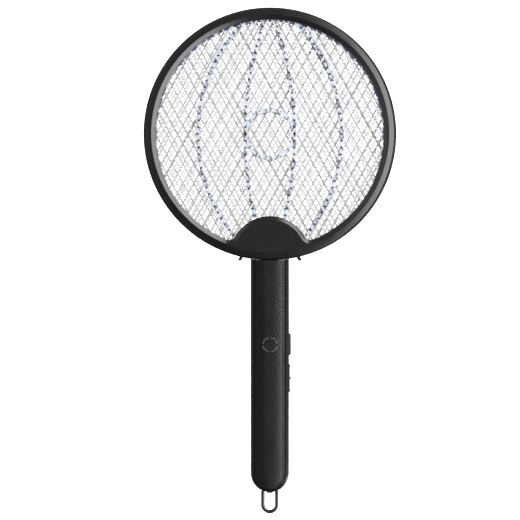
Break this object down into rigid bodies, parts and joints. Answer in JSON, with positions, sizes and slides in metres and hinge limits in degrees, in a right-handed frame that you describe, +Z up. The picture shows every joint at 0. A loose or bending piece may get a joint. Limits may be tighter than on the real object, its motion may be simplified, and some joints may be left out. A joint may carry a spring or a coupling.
{
  "type": "electric fly swatter",
  "caption": "Racket-shaped electric fly swatter: round rim with three metal nets and ribs, fold-back head, straight handle with soft front panel, side controls and a hanging loop.",
  "frame": {"origin": "middle of the grip, on the handle's long axis", "axes": "+Z up along the handle to the head, -Y out of the front face with the soft panel, +X towards the side with the button and the slide switch"},
  "size_m": [0.222, 0.028, 0.4457],
  "materials": {
    "shell_plastic": "fine matt moulded",
    "grip_pad": "embossed grain, satin",
    "net_metal": "bright",
    "spacer_plastic": "translucent, violet-tinted",
    "light_guide": "frosted",
    "black_plastic": "satin moulded",
    "soft_rubber": "matt",
    "steel": "bright zinc plated",
    "circuit_board": "solder mask",
    "component_black": "moulded epoxy",
    "ferrite": "ground ferrite",
    "copper_winding": "enamelled wire",
    "capacitor_film": "dipped",
    "cell_wrap": "shrink sleeve",
    "foam": "open cell",
    "wire_cover": "smooth",
    "uv_lens": "clear violet",
    "led_white": "ceramic"
  },
  "bodies": {
    "handle": {"handle_front_shell": "shell_plastic", "handle_rear_shell": "shell_plastic", "grip_panel": "grip_pad", "ring_light": "light_guide", "ring_spacers": "black_plastic", "indicator_lenses": "black_plastic", "switch_bezel": "black_plastic", "main_board": "circuit_board", "board_screws": "steel", "status_leds": "led_white", "tact_switch": "component_black", "slide_switch_body": "steel", "usb_c_socket": "steel", "transformer_core": "ferrite", "transformer_coil": "copper_winding", "hv_capacitors": "capacitor_film", "board_chips": "component_black", "battery": "cell_wrap", "battery_tabs": "steel", "battery_pads": "foam", "battery_leads": "wire_cover", "hinge_leads": "wire_cover", "hinge_tongue": "steel", "tongue_screws": "steel", "handle_screws": "steel", "loop_saddle": "black_plastic"},
    "head": {"head_front_frame": "shell_plastic", "head_rear_frame": "shell_plastic", "front_spacer": "spacer_plastic", "rear_spacer": "spacer_plastic", "front_net": "net_metal", "live_net": "net_metal", "rear_net": "net_metal", "uv_led_board": "circuit_board", "uv_leds": "uv_lens", "head_leads": "wire_cover", "hinge_bracket": "steel", "hinge_pin": "steel", "bracket_screws": "steel", "head_screws": "steel", "stand_feet": "soft_rubber"},
    "button": {"side_button": "black_plastic", "button_plunger": "component_black"},
    "knob": {"switch_knob": "black_plastic", "switch_slider": "component_black"},
    "loop": {"hanging_loop": "black_plastic"}
  },
  "joints": [
    {"name": "head_fold", "type": "hinge", "parent": "handle", "child": "head", "pos_m": [0, 0.003, 0.1197], "axis": [-1, 0, 0], "range_deg": [0, 90]},
    {"name": "button_press", "type": "slide", "parent": "handle", "child": "button", "axis": [-1, 0, 0], "range_m": [0, 0.0008], "stiffness_N_per_m": 1500, "springref_m": -0.0008},
    {"name": "switch_slide", "type": "slide", "parent": "handle", "child": "knob", "axis": [0, 0, 1], "range_m": [-0.004, 0.004]},
    {"name": "loop_swing", "type": "hinge", "parent": "handle", "child": "loop", "pos_m": [0, 0, -0.0984], "axis": [1, 0, 0], "range_deg": [-55, 55]}
  ]
}
